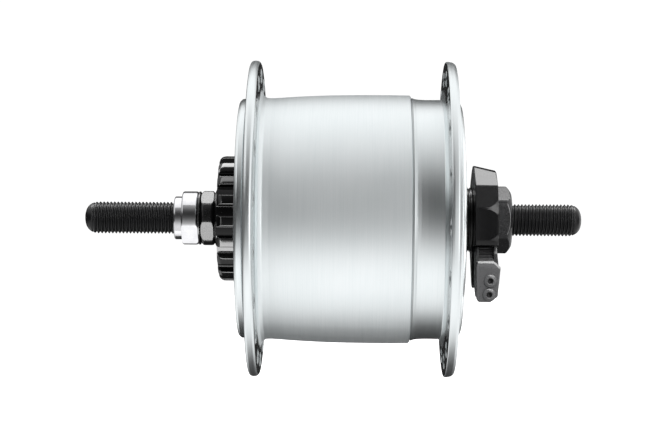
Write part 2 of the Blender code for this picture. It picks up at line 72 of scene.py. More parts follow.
def node(tree, kind, **values):
    """A new node; a value goes to the property of that name, or to the input with that name or number."""
    made = tree.nodes.new(kind)
    for key, value in values.items():
        if key.startswith("in_"):
            key = key[3:]
            socket = made.inputs[int(key)] if key.isdigit() else made.inputs[key.replace("_", " ")]
            socket.default_value = value
        else:
            setattr(made, key, value)
    return made


def math_node(tree, operation, a, b=None, clamp=False):
    made = node(tree, "ShaderNodeMath", operation=operation, use_clamp=clamp)
    for index, value in ((0, a), (1, b)):
        if value is None:
            continue
        if isinstance(value, (int, float)):
            made.inputs[index].default_value = value
        else:
            link(tree, value, made.inputs[index])
    return made.outputs[0]


def remap(tree, value, a, b, c, d, smooth=False):
    made = node(tree, "ShaderNodeMapRange", interpolation_type="SMOOTHSTEP" if smooth else "LINEAR")
    made.clamp = True
    link(tree, value, made.inputs["Value"])
    for name, number in (("From Min", a), ("From Max", b), ("To Min", c), ("To Max", d)):
        made.inputs[name].default_value = number
    return made.outputs["Result"]


# Long strip softboxes above and in front below, dim wall behind the camera: the brightness round the
# axle line, by the angle from the camera side (+X) up over the top.
STUDIO = [
    (-180, 0.02), (-152, 0.03), (-128, 0.06), (-117, 0.15), (-106, 0.39), (-96, 0.76), (-86, 0.99), (-70, 1.10),
    (-56, 1.14), (-44, 1.11), (-34, 0.92), (-25, 0.67), (-16, 0.42), (-7, 0.23), (3, 0.11), (15, 0.055),
    (26, 0.07), (36, 0.16), (46, 0.34), (56, 0.53), (68, 0.71), (82, 0.90), (96, 1.04), (112, 1.13),
    (124, 1.12), (134, 0.86), (141, 0.38), (148, 0.09), (158, 0.02), (180, 0.02),
]
world = bpy.data.worlds.new("studio")
scene.world = world
world.use_nodes = True
tree = world.node_tree
tree.nodes.clear()
direction = node(tree, "ShaderNodeTexCoord").outputs["Generated"]
split = node(tree, "ShaderNodeSeparateXYZ")
link(tree, direction, split.inputs[0])
angle = math_node(tree, "ARCTAN2", split.outputs["Z"], split.outputs["X"])
place = remap(tree, angle, -math.pi, math.pi, 0.0, 1.0)
ramp = node(tree, "ShaderNodeValToRGB")
ramp.color_ramp.interpolation = "LINEAR"
while len(ramp.color_ramp.elements) > 1:
    ramp.color_ramp.elements.remove(ramp.color_ramp.elements[-1])
for index, (degrees, value) in enumerate(STUDIO):
    position = (degrees + 180) / 360
    stop = ramp.color_ramp.elements[0] if index == 0 else ramp.color_ramp.elements.new(position)
    stop.position = position
    stop.color = (value, value, value, 1)
link(tree, place, ramp.inputs["Fac"])
sideways = split.outputs["Y"]
tilt = math_node(tree, "ABSOLUTE", split.outputs["Z"])
right_share = remap(tree, sideways, 0.28, 0.62, 0.0, 1.0, smooth=True)
right_level = math_node(tree, "MULTIPLY", remap(tree, tilt, 0.10, 0.45, 1.55, 1.02, smooth=True),
                        remap(tree, sideways, 0.88, 0.985, 1.0, 0.10, smooth=True))
left_share = remap(tree, sideways, -0.22, -0.50, 0.0, 1.0, smooth=True)
left_level = remap(tree, tilt, 0.22, 0.50, 0.07, 1.0, smooth=True)


def blend_levels(share, a, b):
    made = node(tree, "ShaderNodeMix", data_type="FLOAT")
    link(tree, share, made.inputs[0])
    link(tree, a, made.inputs[2])
    link(tree, b, made.inputs[3])
    return made


mixed = blend_levels(left_share, blend_levels(right_share, ramp.outputs["Color"], right_level).outputs[0], left_level)
lit = node(tree, "ShaderNodeBackground")
lit.inputs["Color"].default_value = (1, 1, 1, 1)
link(tree, mixed.outputs[0], lit.inputs["Strength"])
plain = node(tree, "ShaderNodeBackground")
plain.inputs["Color"].default_value = (1, 1, 1, 1)
plain.inputs["Strength"].default_value = 1.05
path = node(tree, "ShaderNodeLightPath")
choose = node(tree, "ShaderNodeMixShader")
link(tree, path.outputs["Is Camera Ray"], choose.inputs[0])
link(tree, lit.outputs[0], choose.inputs[1])
link(tree, plain.outputs[0], choose.inputs[2])
world_out = node(tree, "ShaderNodeOutputWorld")
link(tree, choose.outputs[0], world_out.inputs["Surface"])

floor_mesh = bpy.data.meshes.new("floor")
floor_mesh.from_pydata([(-4, -4, -0.16), (4, -4, -0.16), (4, 4, -0.16), (-4, 4, -0.16)], [], [(0, 1, 2, 3)])
floor = bpy.data.objects.new("floor", floor_mesh)
scene.collection.objects.link(floor)
floor_look = bpy.data.materials.new("pale_floor")
floor_look.use_nodes = True
floor_shader = floor_look.node_tree.nodes["Principled BSDF"]
floor_shader.inputs["Base Color"].default_value = (0.9, 0.9, 0.9, 1)
floor_shader.inputs["Roughness"].default_value = 0.9
floor_shader.inputs["Emission Color"].default_value = (1, 1, 1, 1)
floor_shader.inputs["Emission Strength"].default_value = 0.75
floor_mesh.materials.append(floor_look)
floor.visible_glossy = False
floor.visible_diffuse = False

dark_parts = bpy.data.collections.new("dark_parts")
bright_nut = bpy.data.collections.new("bright_nut")
plug_parts = bpy.data.collections.new("plug_parts")
right_hex = bpy.data.collections.new("right_hex")
left_dark_parts = bpy.data.collections.new("left_dark_parts")


def strip(name, degrees, distance, width, length, power, receivers=None, at_y=0.0):
    """A strip softbox along Y, at this angle round the axle line, facing it."""
    data = bpy.data.lights.new(name, "AREA")
    data.shape = "RECTANGLE"
    data.size, data.size_y = width, length
    data.energy = power
    lamp = bpy.data.objects.new(name, data)
    scene.collection.objects.link(lamp)
    a = math.radians(degrees)
    out = Vector((math.cos(a), 0.0, math.sin(a)))
    along = Vector((0, 1, 0))
    across = along.cross(out)
    turn = Matrix((across, along, out)).transposed().to_4x4()
    lamp.matrix_world = Matrix.Translation(out * distance + Vector((0, at_y, 0))) @ turn
    if receivers is not None:
        lamp.light_linking.receiver_collection = receivers
    return lamp


def card(name, azimuth, low_tilt, high_tilt, width, level, receivers):
    """An upright card at this azimuth from the camera side, between two elevations, facing the middle of the axle."""
    radius = 0.5
    mid = math.radians((low_tilt + high_tilt) / 2)
    a = math.radians(azimuth)
    out = Vector((math.cos(a) * math.cos(mid), math.sin(a) * math.cos(mid), math.sin(mid)))
    height = 2 * radius * math.tan(math.radians((high_tilt - low_tilt) / 2))
    data = bpy.data.lights.new(name, "AREA")
    data.shape = "RECTANGLE"
    data.size, data.size_y = width, height
    data.energy = level * math.pi * width * height
    lamp = bpy.data.objects.new(name, data)
    scene.collection.objects.link(lamp)
    across = Vector((-math.sin(a), math.cos(a), 0))
    turn = Matrix((across, out.cross(across), out)).transposed().to_4x4()
    lamp.matrix_world = Matrix.Translation(out * radius + Vector((0, 0.005, 0))) @ turn
    lamp.light_linking.receiver_collection = receivers
    return lamp


def strip_power(level, width, length):
    return level * math.pi * width * length


strip("strip_above", 112, 0.50, 0.20, 0.9, strip_power(8.5, 0.20, 0.9), dark_parts)
strip("strip_upper_front", 77, 0.50, 0.11, 0.9, strip_power(4.5, 0.11, 0.9), dark_parts)
strip("strip_below", -59, 0.50, 0.27, 0.9, strip_power(13.0, 0.27, 0.9), left_dark_parts)
card("card_right", 22, 2, 44, 0.10, 10.0, dark_parts)
card("card_right_low", 25, -24, -4, 0.085, 3.0, dark_parts)
card("card_left", -27, -24, 30, 0.07, 4.0, dark_parts)
strip("plug_front", 66, 0.50, 0.20, 0.9, strip_power(11.0, 0.20, 0.9), plug_parts, 0.24)
card("nut_side", 40, -28, 28, 0.25, 22.0, right_hex)
strip("nut_above", 96, 0.50, 0.80, 0.5, strip_power(0.75, 0.80, 0.5), bright_nut, -0.04)
strip("nut_below", -94, 0.50, 0.34, 0.5, strip_power(0.75, 0.34, 0.5), bright_nut, -0.04)

# the broad key from the camera side: it lights matt surfaces only
key_data = bpy.data.lights.new("key", "SUN")
key_data.energy = 3.0
key_data.angle = math.radians(30)
key = bpy.data.objects.new("key", key_data)
scene.collection.objects.link(key)
key.rotation_euler = Vector((1.0, 0.10, 0.30)).to_track_quat("Z", "Y").to_euler()
key.visible_glossy = False


# ---------------------------------------------------------------- materials
def start(name):
    mat = bpy.data.materials.new(name)
    mat.use_nodes = True
    tree = mat.node_tree
    tree.nodes.clear()
    out = node(tree, "ShaderNodeOutputMaterial")
    shader = node(tree, "ShaderNodeBsdfPrincipled")
    link(tree, shader.outputs["BSDF"], out.inputs["Surface"])
    return mat, tree, shader


def object_coords(tree):
    return node(tree, "ShaderNodeTexCoord").outputs["Object"]


def noise(tree, coords, scale, stretch=(1, 1, 1), detail=3.0, roughness=0.55):
    mapping = node(tree, "ShaderNodeMapping")
    mapping.inputs["Scale"].default_value = [s * scale for s in stretch]
    link(tree, coords, mapping.inputs["Vector"])
    made = node(tree, "ShaderNodeTexNoise")
    made.inputs["Scale"].default_value = 1.0
    made.inputs["Detail"].default_value = detail
    made.inputs["Roughness"].default_value = roughness
    link(tree, mapping.outputs["Vector"], made.inputs["Vector"])
    return made.outputs["Fac"]


def mix_colour(tree, factor, a, b):
    made = node(tree, "ShaderNodeMix", data_type="RGBA")
    link(tree, factor, made.inputs[0])
    for index, value in ((6, a), (7, b)):
        if isinstance(value, tuple):
            made.inputs[index].default_value = (*value, 1)
        else:
            link(tree, value, made.inputs[index])
    return made.outputs[2]


def bump(tree, shader, height, distance, strength=1.0):
    made = node(tree, "ShaderNodeBump")
    made.inputs["Strength"].default_value = strength
    made.inputs["Distance"].default_value = distance
    link(tree, height, made.inputs["Height"])
    link(tree, made.outputs["Normal"], shader.inputs["Normal"])


def edge_wear(tree):
    """0 on faces, rising to 1 along convex edges."""
    made = node(tree, "ShaderNodeNewGeometry")
    return remap(tree, made.outputs["Pointiness"], 0.505, 0.56, 0.0, 1.0, smooth=True)


def turned_metal(name, light, dark, rough, neck_rough=None, brush=1.0):
    """Anodised, lathe-turned aluminium: fine rings round the axle line, cloudy tone, satin gloss.

    With neck_rough it is the shell's finish: a lacquered barrel, a smoother neck and bright-turned flange faces; the
    flanges' inner faces are also darkened with painted shade, and a thin painted shade line runs in the groove at the
    foot of the neck's step.
    """
    mat, tree, shader = start(name)
    shader.inputs["Metallic"].default_value = 1.0
    places = node(tree, "ShaderNodeTexCoord")
    coords = places.outputs["Object"]
    rings = noise(tree, coords, 1.0, (45, 2600, 45), 4.0, 0.65)
    fine = noise(tree, coords, 1.0, (120, 8200, 120), 2.0, 0.6)
    cloud = noise(tree, coords, 60.0, (1, 1, 1), 2.0, 0.5)
    grain = noise(tree, coords, 4200.0, (1, 1, 1), 1.0, 0.5)
    lines = math_node(tree, "ADD", math_node(tree, "MULTIPLY", rings, 0.6), math_node(tree, "MULTIPLY", fine, 0.4))
    tone = math_node(tree, "ADD", math_node(tree, "MULTIPLY", lines, 0.65), math_node(tree, "MULTIPLY", cloud, 0.35))
    colour = mix_colour(tree, remap(tree, tone, 0.32, 0.68, 0.0, 1.0), dark, light)
    link(tree, colour, shader.inputs["Base Color"])
    base = remap(tree, lines, 0.3, 0.7, rough - 0.035 * brush, rough + 0.05 * brush)
    if neck_rough is not None:
        split = node(tree, "ShaderNodeSeparateXYZ")
        link(tree, coords, split.inputs[0])
        on_neck = remap(tree, split.outputs["Y"], 0.0208, 0.0222, 0.0, 1.0, smooth=True)
        out_r = math_node(tree, "SQRT", math_node(tree, "ADD",
                                                  math_node(tree, "POWER", split.outputs["X"], 2.0),
                                                  math_node(tree, "POWER", split.outputs["Z"], 2.0)))
        facing = node(tree, "ShaderNodeSeparateXYZ")
        link(tree, places.outputs["Normal"], facing.inputs[0])
        across = remap(tree, math_node(tree, "ABSOLUTE", facing.outputs["Y"]), 0.75, 0.97, 0.0, 1.0, smooth=True)
        drilled = remap(tree, out_r, 0.0430, 0.0434, 1.0, 0.0)
        on_face = math_node(tree, "MULTIPLY", math_node(tree, "MAXIMUM", across, drilled),
                            remap(tree, out_r, 0.0356, 0.0370, 0.0, 1.0, smooth=True))
        smooth_turned = math_node(tree, "MAXIMUM", on_neck, remap(tree, out_r, 0.0352, 0.0372, 0.0, 1.0, smooth=True))
        base = math_node(tree, "MULTIPLY", base, remap(tree, smooth_turned, 0.0, 1.0, 1.0, neck_rough / rough))
        from_middle = math_node(tree, "ABSOLUTE", math_node(tree, "SUBTRACT", split.outputs["Y"], 0.00535))
        # the flanges' inner faces, where they face each other: smoother, and darkened with painted shade
        smooth_and_shaded_inner_faces = math_node(tree, "MULTIPLY", on_face, remap(tree, from_middle, 0.0264, 0.0276, 1.0, 0.0))
        base = math_node(tree, "MULTIPLY", base, remap(tree, smooth_and_shaded_inner_faces, 0.0, 1.0, 1.0, 0.45))
        colour = mix_colour(tree, math_node(tree, "MULTIPLY", smooth_and_shaded_inner_faces, 0.66), colour, tuple(c * 0.25 for c in dark))
        # a thin band in the groove at the foot of the neck's step, darkened: painted shade along the seam
        painted_seam_shade = math_node(tree, "MULTIPLY", remap(tree, split.outputs["Y"], 0.02130, 0.02142, 0.0, 1.0),
                         remap(tree, split.outputs["Y"], 0.02180, 0.02192, 1.0, 0.0))
        colour = mix_colour(tree, math_node(tree, "MULTIPLY", painted_seam_shade, 0.38), colour, tuple(c * 0.10 for c in dark))
        link(tree, colour, shader.inputs["Base Color"])
        lacquer = math_node(tree, "MAXIMUM", smooth_turned,
                            remap(tree, split.outputs["Y"], -0.0192, -0.0180, 1.0, 0.0, smooth=True))
        link(tree, remap(tree, lacquer, 0.0, 1.0, 0.87, 0.98), shader.inputs["Metallic"])
    link(tree, base, shader.inputs["Roughness"])
    height = math_node(tree, "ADD", math_node(tree, "MULTIPLY", lines, 0.8), math_node(tree, "MULTIPLY", grain, 0.3))
    bump(tree, shader, height, 0.0000035 * brush)
    return mat


def polished_steel(name, light, dark, rough, stretch=(60, 2400, 60), depth=0.0000012):
    mat, tree, shader = start(name)
    shader.inputs["Metallic"].default_value = 1.0
    coords = object_coords(tree)
    rings = noise(tree, coords, 1.0, stretch, 3.0, 0.6)
    smear = noise(tree, coords, 350.0, (1, 1, 1), 3.0, 0.6)
    colour = mix_colour(tree, remap(tree, smear, 0.3, 0.7, 0.0, 1.0), dark, light)
    link(tree, colour, shader.inputs["Base Color"])
    link(tree, remap(tree, smear, 0.35, 0.7, rough * 0.8, rough * 1.35), shader.inputs["Roughness"])
    bump(tree, shader, rings, depth)
    return mat


def black_metal(name, base, worn, rough, grain_scale=2600.0, depth=0.000004, specular=0.5, wear=0.5, coat=0.0):
    """Blackened steel: a dark finish with a fine grain, rubbed a little lighter along its edges."""
    mat, tree, shader = start(name)
    shader.inputs["Specular IOR Level"].default_value = specular
    shader.inputs["Coat Weight"].default_value = coat
    shader.inputs["Coat Roughness"].default_value = 0.12
    coords = object_coords(tree)
    grain = noise(tree, coords, grain_scale, (1, 1, 1), 3.0, 0.6)
    patch = noise(tree, coords, 260.0, (1, 1, 1), 3.0, 0.6)
    rubbed = math_node(tree, "MULTIPLY", edge_wear(tree), remap(tree, patch, 0.35, 0.65, 0.0, wear))
    colour = mix_colour(tree, rubbed, mix_colour(tree, remap(tree, patch, 0.35, 0.65, 0.0, 1.0), base,
                                                 tuple(c * 1.5 for c in base)), worn)
    link(tree, colour, shader.inputs["Base Color"])
    link(tree, remap(tree, grain, 0.3, 0.7, rough * 0.85, rough * 1.2), shader.inputs["Roughness"])
    bump(tree, shader, grain, depth)
    return mat


def moulded_plastic(name, base, rough, depth=0.000008, grain_scale=1900.0, specular=0.5, spread=1.25):
    """Injection-moulded plastic: spark-eroded grain, faint flow marks, edges polished by handling."""
    mat, tree, shader = start(name)
    shader.inputs["Specular IOR Level"].default_value = specular
    coords = object_coords(tree)
    grain = noise(tree, coords, grain_scale, (1, 1, 1), 2.0, 0.7)
    flow = noise(tree, coords, 130.0, (1, 2, 0.6), 2.0, 0.5)
    colour = mix_colour(tree, remap(tree, flow, 0.3, 0.7, 0.0, 1.0), base, tuple(c * spread for c in base))
    worn = edge_wear(tree)
    colour = mix_colour(tree, math_node(tree, "MULTIPLY", worn, 0.35), colour,
                        tuple(min(1.0, c * 1.9 + 0.02) for c in base))
    link(tree, colour, shader.inputs["Base Color"])
    varied = remap(tree, grain, 0.3, 0.7, rough * 0.88, rough * 1.12)
    link(tree, math_node(tree, "SUBTRACT", varied, math_node(tree, "MULTIPLY", worn, rough * 0.2)),
         shader.inputs["Roughness"])
    bump(tree, shader, grain, depth)
    return mat


def striped(name, colour_a, colour_b, metallic, rough, pitch, depth, axis="Y", specular=0.5):
    """Rings at a regular pitch along an axis: laminations or the turns of a winding."""
    mat, tree, shader = start(name)
    shader.inputs["Metallic"].default_value = metallic
    shader.inputs["Specular IOR Level"].default_value = specular
    coords = object_coords(tree)
    split = node(tree, "ShaderNodeSeparateXYZ")
    link(tree, coords, split.inputs[0])
    phase = math_node(tree, "MULTIPLY", split.outputs[axis], 2 * math.pi / pitch)
    wave = math_node(tree, "ABSOLUTE", math_node(tree, "SINE", math_node(tree, "MULTIPLY", phase, 0.5)))
    patch = noise(tree, coords, 300.0, (1, 1, 1), 3.0, 0.6)
    colour = mix_colour(tree, math_node(tree, "MULTIPLY", wave, remap(tree, patch, 0.3, 0.7, 0.75, 1.0)),
                        colour_a, colour_b)
    link(tree, colour, shader.inputs["Base Color"])
    link(tree, remap(tree, patch, 0.3, 0.7, rough * 0.85, rough * 1.2), shader.inputs["Roughness"])
    bump(tree, shader, wave, depth)
    return mat


ALUMINIUM_LIGHT, ALUMINIUM_DARK = (0.90, 0.935, 0.945), (0.80, 0.85, 0.86)
shell_look = turned_metal("satin_shell", ALUMINIUM_LIGHT, ALUMINIUM_DARK, 0.42, neck_rough=0.30)
cap_look = turned_metal("satin_caps", ALUMINIUM_LIGHT, ALUMINIUM_DARK, 0.24)
bright_look = polished_steel("polished_nut", (0.66, 0.66, 0.675), (0.56, 0.56, 0.575), 0.11)
black_look = black_metal("black_steel", (0.0012, 0.0012, 0.0013), (0.02, 0.02, 0.021), 0.24, specular=0.42, wear=0.25)
hex_look = black_metal("black_hex", (0.0035, 0.0035, 0.0037), (0.10, 0.10, 0.102), 0.24, depth=0.000009,
                       grain_scale=1700.0, specular=0.17, wear=0.9)
ring_look = black_metal("black_ring", (0.0004, 0.0004, 0.00045), (0.004, 0.004, 0.004), 0.12, depth=0.000001,
                        specular=0.45, wear=0.1)
thread_look = black_metal("black_thread", (0.0022, 0.0022, 0.0024), (0.012, 0.012, 0.0125), 0.30, specular=0.30, wear=0.3)
housing_look = moulded_plastic("black_plastic", (0.0014, 0.0014, 0.0016), 0.20, depth=0.000003, specular=0.23)
body_look = moulded_plastic("dark_grey_plastic", (0.010, 0.010, 0.0105), 0.30, specular=0.45)
plug_look = moulded_plastic("grey_plastic", (0.032, 0.032, 0.033), 0.30, specular=0.5, spread=1.15)
rubber_look = moulded_plastic("seal_rubber", (0.012, 0.012, 0.012), 0.62, depth=0.000012)
nylon_look = moulded_plastic("natural_nylon", (0.66, 0.62, 0.50), 0.46, spread=1.06)
insulation_look = moulded_plastic("lead_sleeve", (0.42, 0.035, 0.025), 0.42, spread=1.15)
ferrite_look = moulded_plastic("ferrite", (0.045, 0.045, 0.048), 0.55, depth=0.00002, grain_scale=1200.0)
ball_look = polished_steel("ball_steel", (0.80, 0.80, 0.81), (0.74, 0.74, 0.75), 0.06, (900, 900, 900), 0.0000004)
race_look = polished_steel("bearing_steel", (0.74, 0.74, 0.75), (0.62, 0.62, 0.63), 0.2)
brass_look = polished_steel("brass", (0.80, 0.60, 0.28), (0.66, 0.47, 0.20), 0.26, (900, 120, 120))
pressed_look = polished_steel("zinc_steel", (0.62, 0.63, 0.64), (0.48, 0.49, 0.50), 0.36, (500, 500, 500))
copper_look = striped("copper_winding", (0.20, 0.06, 0.025), (0.80, 0.36, 0.17), 1.0, 0.28, 0.00056, 0.0002)
lamination_look = striped("laminated_iron", (0.08, 0.08, 0.085), (0.42, 0.42, 0.43), 1.0, 0.42, 0.0005, 0.00003)
iron_look = polished_steel("pressed_iron", (0.40, 0.40, 0.41), (0.28, 0.28, 0.285), 0.42, (700, 700, 700), 0.000004)


# ---------------------------------------------------------------- mesh helpers
def finish_mesh(mesh, look, sharp=32.0, flat_area=None):
    """Smooth shading up to the angle `sharp`; faces over flat_area mm2 also stay flat up to their own edges."""
    mesh.shade_smooth()
    bm = bmesh.new()
    bm.from_mesh(mesh)
    bmesh.ops.recalc_face_normals(bm, faces=bm.faces)
    for edge in bm.edges:
        if len(edge.link_faces) != 2:
            continue
        angle = math.degrees(edge.calc_face_angle(0.0))
        large = flat_area is not None and max(face.calc_area() for face in edge.link_faces) > flat_area * MM * MM
        edge.smooth = not (angle > sharp or (large and angle > 2.5))
    bm.to_mesh(mesh)
    bm.free()
    mesh.materials.clear()
    mesh.materials.append(look)


def new_object(name, points, faces, look=None, sharp=32.0):
    mesh = bpy.data.meshes.new(name)
    mesh.from_pydata([(x * MM, y * MM, z * MM) for x, y, z in points], [], faces)
    obj = bpy.data.objects.new(name, mesh)
    scene.collection.objects.link(obj)
    if look is not None:
        finish_mesh(mesh, look, sharp)
    return obj


def use_modifier(obj, kind, **settings):
    """Adds a modifier and applies it to the mesh."""
    mod = obj.modifiers.new(kind.lower(), kind)
    for key, value in settings.items():
        setattr(mod, key, value)
    graph = bpy.context.evaluated_depsgraph_get()
    mesh = bpy.data.meshes.new_from_object(obj.evaluated_get(graph))
    obj.modifiers.clear()
    old, obj.data = obj.data, mesh
    bpy.data.meshes.remove(old)
    mesh.name = obj.name
    return obj


def combine(obj, operation, tool):
    use_modifier(obj, "BOOLEAN", operation=operation, solver="EXACT", object=tool)
    mesh = tool.data
    bpy.data.objects.remove(tool)
    bpy.data.meshes.remove(mesh)
    return obj


def soften(obj, width, segments=3, limit=28.0):
    return use_modifier(obj, "BEVEL", width=width * MM, segments=segments, limit_method="ANGLE",
                        angle_limit=math.radians(limit), use_clamp_overlap=True, miter_outer="MITER_ARC")


def dress(obj, body, slot, look, *nodes, dark=False, sharp=32.0, flat_area=None):
    finish_mesh(obj.data, look, sharp, flat_area)
    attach(obj, body)
    if nodes:
        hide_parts(*nodes)
    if dark:
        dark_parts.objects.link(obj)
    if dark == "left":
        left_dark_parts.objects.link(obj)
    return obj


def rounded(points, steps=5, closed=True):
    """Rounds the corners of an outline of (y, r, radius) points with true arcs."""
    out = []
    for index, (y, r, radius) in enumerate(points):
        if radius <= 0 or (not closed and index in (0, len(points) - 1)):
            out.append((y, r))
            continue
        p = Vector((y, r))
        u = Vector(points[index - 1][:2]) - p
        v = Vector(points[(index + 1) % len(points)][:2]) - p
        lu, lv = u.length, v.length
        u.normalize()
        v.normalize()
        opening = math.acos(max(-1.0, min(1.0, u.dot(v))))
        if opening > math.pi - 0.03:
            out.append((y, r))
            continue
        reach = min(radius / math.tan(opening / 2), 0.48 * lu, 0.48 * lv)
        size = reach * math.tan(opening / 2)
        centre = p + (u + v).normalized() * (size / math.sin(opening / 2))
        first, last = p + u * reach, p + v * reach
        a0 = math.atan2(first.y - centre.y, first.x - centre.x)
        a1 = math.atan2(last.y - centre.y, last.x - centre.x)
        sweep = (a1 - a0 + math.pi) % (2 * math.pi) - math.pi
        for k in range(steps + 1):
            t = a0 + sweep * k / steps
            out.append((centre.x + size * math.cos(t), centre.y + size * math.sin(t)))
    return out


def turned(name, outline, segments=192):
    """A ring turned about the axle line from a closed (y, r) outline."""
    count = len(outline)
    points, faces = [], []
    for k in range(segments):
        a = 2 * math.pi * k / segments
        points += [(r * math.cos(a), y, r * math.sin(a)) for y, r in outline]
    for k in range(segments):
        here, there = k * count, ((k + 1) % segments) * count
        for i in range(count):
            j = (i + 1) % count
            faces.append((here + i, here + j, there + j, there + i))
    return new_object(name, points, faces)


def turned_solid(name, outline, segments=192):
    """A solid turned about the axle line, from an outline that starts and ends on it."""
    inner = outline[1:-1]
    count = len(inner)
    points, faces = [(0.0, outline[0][0], 0.0), (0.0, outline[-1][0], 0.0)], []
    for k in range(segments):
        a = 2 * math.pi * k / segments
        points += [(r * math.cos(a), y, r * math.sin(a)) for y, r in inner]
    for k in range(segments):
        here, there = 2 + k * count, 2 + ((k + 1) % segments) * count
        faces.append((0, here, there))
        faces.append((1, there + count - 1, here + count - 1))
        for i in range(count - 1):
            faces.append((here + i, here + i + 1, there + i + 1, there + i))
    return new_object(name, points, faces)


def wrapped(name, rows, angles, radius, bore):
    """A ring whose outer surface lies at radius(angle, y), on a bore (radius, chamfer)."""
    bore_r, cut = bore
    loops = [(rows[0] + cut, lambda a, y: bore_r), (rows[0], lambda a, y: bore_r + cut)]
    loops += [(y, radius) for y in rows]
    loops += [(rows[-1], lambda a, y: bore_r + cut), (rows[-1] - cut, lambda a, y: bore_r)]
    points, faces = [], []
    for y, rule in loops:
        points += [(rule(a, y) * math.cos(a), y, rule(a, y) * math.sin(a)) for a in angles]
    n, total = len(angles), len(loops)
    for i in range(total):
        j = (i + 1) % total
        for k in range(n):
            m = (k + 1) % n
            faces.append((i * n + k, j * n + k, j * n + m, i * n + m))
    return new_object(name, points, faces)


def soft_min(a, b, k):
    h = max(k - abs(a - b), 0.0) / k
    return min(a, b) - h * h * k * 0.25


def profile(points):
    """A function r(y) through (y, r) points, with straight runs."""
    ys, rs = [p[0] for p in points], [p[1] for p in points]
    return lambda y: float(np.interp(y, ys, rs))


def prism(name, low, high, axis, span):
    points = []
    for outline, w in ((low, span[0]), (high, span[1])):
        for u, v in outline:
            points.append((u, w, v) if axis == "Y" else (w, u, v))
    n = len(low)
    faces = [tuple(range(n)), tuple(range(2 * n - 1, n - 1, -1))]
    faces += [(i, n + i, n + (i + 1) % n, (i + 1) % n) for i in range(n)]
    obj = new_object(name, points, faces)
    bm = bmesh.new()
    bm.from_mesh(obj.data)
    bmesh.ops.recalc_face_normals(bm, faces=bm.faces)
    bm.to_mesh(obj.data)
    bm.free()
    return obj


def block(name, low, high):
    return prism(name, [(low[0], low[2]), (high[0], low[2]), (high[0], high[2]), (low[0], high[2])],
                 [(low[0], low[2]), (high[0], low[2]), (high[0], high[2]), (low[0], high[2])],
                 "Y", (low[1], high[1]))


def pins(name, places, rings, sides=24, axis="Y"):
    """Closed turned pins, one at each place, from (along, radius) rings."""
    points, faces = [], []
    for place in places:
        base = len(points)
        for along, r in rings:
            for k in range(sides):
                t = 2 * math.pi * k / sides
                if axis == "Y":
                    points.append((place[0] + r * math.cos(t), along, place[1] + r * math.sin(t)))
                else:
                    points.append((along, place[0] + r * math.cos(t), place[1] + r * math.sin(t)))
        n = len(rings)
        faces.append(tuple(base + k for k in range(sides)))
        faces.append(tuple(base + (n - 1) * sides + k for k in reversed(range(sides))))
        for i in range(n - 1):
            for k in range(sides):
                m = (k + 1) % sides
                faces.append((base + i * sides + k, base + i * sides + m,
                              base + (i + 1) * sides + m, base + (i + 1) * sides + k))
    obj = new_object(name, points, faces)
    bm = bmesh.new()
    bm.from_mesh(obj.data)
    bmesh.ops.recalc_face_normals(bm, faces=bm.faces)
    bm.to_mesh(obj.data)
    bm.free()
    return obj


def doughnuts(name, places, along, major, minor, squash=1.0, sides=28, around=12):
    """Rounded lips standing on a face across Y, one at each place."""
    points, faces = [], []
    for place in places:
        base = len(points)
        for i in range(sides):
            t = 2 * math.pi * i / sides
            for j in range(around):
                s = 2 * math.pi * j / around
                r = major + minor * math.cos(s)
                points.append((place[0] + r * math.cos(t), along + minor * squash * math.sin(s),
                               place[1] + r * math.sin(t)))
        for i in range(sides):
            for j in range(around):
                a, b = i * around, ((i + 1) % sides) * around
                c = (j + 1) % around
                faces.append((base + a + j, base + a + c, base + b + c, base + b + j))
    obj = new_object(name, points, faces)
    bm = bmesh.new()
    bm.from_mesh(obj.data)
    bmesh.ops.recalc_face_normals(bm, faces=bm.faces)
    bm.to_mesh(obj.data)
    bm.free()
    return obj


# ---------------------------------------------------------------- hub shell with its flanges
FLANGE_R, PITCH_R, HOLE_R = 44.4, 40.0, 1.45
shell_outline = rounded([
    (-23.0, 32.4, 0.1), (-23.0, 33.95, 0.1), (-23.2, 34.05, 0.1), (-23.2, FLANGE_R, 1.0), (-20.5, FLANGE_R, 1.15),
    (-20.42, 37.2, 0.6), (-20.2, 35.9, 0.6), (-19.75, 34.75, 0.8), (-18.7, 33.95, 1.0), (-16.8, 33.92, 1.5),
    (-14.5, 34.07, 0), (-11.1, 34.32, 0), (-6.6, 34.57, 0), (-0.9, 34.80, 0), (4.7, 34.90, 0), (10.4, 34.96, 0),
    (16.0, 34.97, 0), (21.2, 34.90, 0.08), (21.46, 34.60, 0.04), (21.5, 33.95, 0.05), (21.78, 33.95, 0.05), (21.82, 34.22, 0.06), (22.7, 33.90, 0.7), (23.7, 33.76, 0.9),
    (25.6, 33.66, 1.0), (30.15, 33.70, 0.32), (30.5, 35.2, 0.5), (30.9, 36.6, 0.6), (31.15, 37.8, 0.6),
    (31.2, FLANGE_R - 0.05, 0.5), (31.95, FLANGE_R, 1.2), (33.15, FLANGE_R - 0.2, 1.0), (33.9, FLANGE_R - 0.8, 0.5), (33.9, 34.05, 0.1), (33.7, 33.95, 0.1), (33.7, 32.4, 0.1),
], steps=6)
shell = turned("hub_shell_fine", shell_outline, 216)


def spoke_places(turn):
    return [(PITCH_R * math.cos(math.radians(turn + 20 * k)), PITCH_R * math.sin(math.radians(turn + 20 * k)))
            for k in range(18)]


